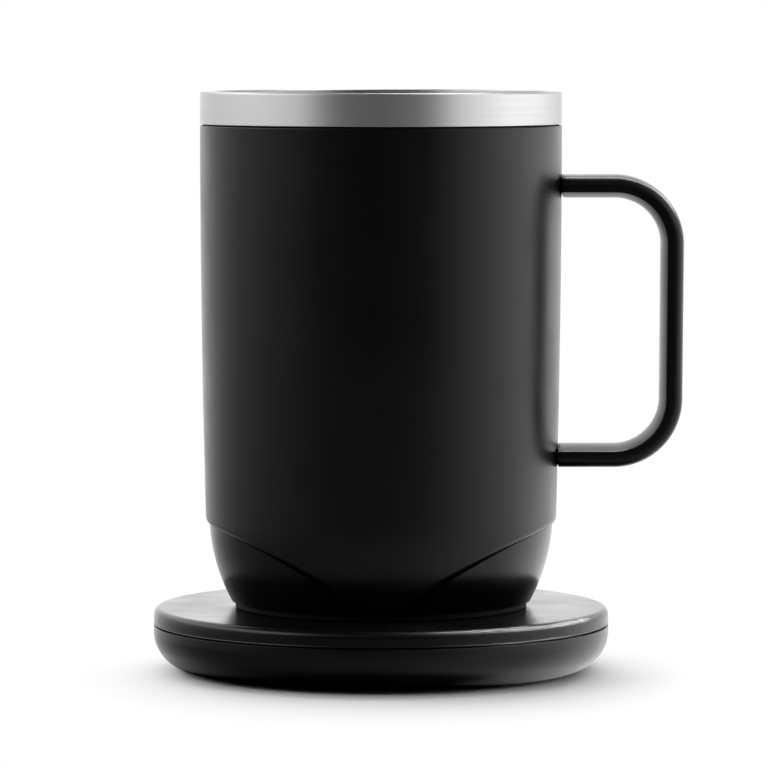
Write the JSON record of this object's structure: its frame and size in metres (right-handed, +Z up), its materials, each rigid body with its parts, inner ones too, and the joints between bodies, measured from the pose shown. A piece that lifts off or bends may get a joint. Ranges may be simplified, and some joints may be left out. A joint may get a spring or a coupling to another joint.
{
  "type": "self-heating mug with charging coaster",
  "caption": "Matte black self-heating mug with a steel rim band and bent strap handle, standing on a round charging coaster with sprung contact pins.",
  "frame": {"origin": "centre of the coaster's underside, on the plane it stands on", "axes": "+Z up along the mug's axis, +X towards the handle, -Y towards the front seen in the picture"},
  "size_m": [0.1264, 0.1086, 0.1381],
  "materials": {
    "black_coat": "matte fine-texture powder coat",
    "brushed_steel": "fine brushing around the axis",
    "black_plastic": "matte moulded",
    "black_rubber": "matte",
    "dark_plastic": "satin moulded",
    "fastener_steel": "zinc plated",
    "gold_contact": "gold plated",
    "spreader_aluminium": "milled",
    "heater_film": "satin film",
    "insulation": "felted",
    "foam": "open cell",
    "cell_wrap": "gloss sleeve",
    "board": "solder mask",
    "chip": "moulded",
    "connector": "moulded",
    "led": "clear resin",
    "red_wire": "satin insulation",
    "pale_wire": "satin insulation",
    "ferrite": "matte"
  },
  "bodies": {
    "coaster": {"coaster_cover": "black_plastic", "coaster_base": "black_plastic", "non_slip_pad": "black_rubber", "coaster_screws": "fastener_steel", "coaster_board": "board", "coaster_board_screws": "fastener_steel", "coaster_chip": "chip", "coaster_coil": "ferrite", "contact_barrels": "gold_contact", "contact_spring_inner": "fastener_steel", "contact_spring_outer": "fastener_steel", "inlet_shell": "fastener_steel", "inlet_tongue": "chip"},
    "mug": {"outer_shell": "black_coat", "rim_band": "brushed_steel", "rim_seal": "black_rubber", "inner_liner": "brushed_steel", "handle": "black_coat", "handle_seats": "black_rubber", "handle_screws": "fastener_steel", "base_housing": "black_plastic", "base_seal": "black_rubber", "foot_ring": "black_rubber", "base_cover": "black_plastic", "cover_screws": "fastener_steel", "chassis_screws": "fastener_steel", "heat_spreader": "spreader_aluminium", "film_heater": "heater_film", "temperature_sensor": "dark_plastic", "insulation_pad": "insulation", "clamp_plate": "fastener_steel", "plate_clips": "fastener_steel", "battery_cells": "cell_wrap", "cell_links": "fastener_steel", "battery_tray": "black_plastic", "battery_cushion": "foam", "tray_screws": "fastener_steel", "main_board": "board", "control_chip": "chip", "radio_can": "fastener_steel", "board_connectors": "connector", "status_led": "led", "board_screws": "fastener_steel", "heater_leads": "red_wire", "sensor_leads": "pale_wire", "battery_leads": "red_wire", "contact_ring_inner": "gold_contact", "contact_ring_outer": "gold_contact", "switch_body": "fastener_steel"},
    "button": {"power_button": "dark_plastic", "switch_stem": "chip"},
    "inner_pin": {"contact_pin_inner": "gold_contact"},
    "outer_pin": {"contact_pin_outer": "gold_contact"}
  },
  "joints": [
    {"name": "mug_lift", "type": "slide", "parent": "coaster", "child": "mug", "axis": [0, 0, 1], "range_m": [0, 0.1]},
    {"name": "button_press", "type": "slide", "parent": "mug", "child": "button", "axis": [0, 0, 1], "range_m": [0, 0.0005], "stiffness_N_per_m": 400, "springref_m": -0.002},
    {"name": "inner_pin_press", "type": "slide", "parent": "coaster", "child": "inner_pin", "axis": [0, 0, -1], "range_m": [0, 0.0006], "stiffness_N_per_m": 300, "springref_m": -0.001, "deforming": ["contact_spring_inner"]},
    {"name": "outer_pin_press", "type": "slide", "parent": "coaster", "child": "outer_pin", "axis": [0, 0, -1], "range_m": [0, 0.0006], "stiffness_N_per_m": 300, "springref_m": -0.001, "deforming": ["contact_spring_outer"]}
  ]
}
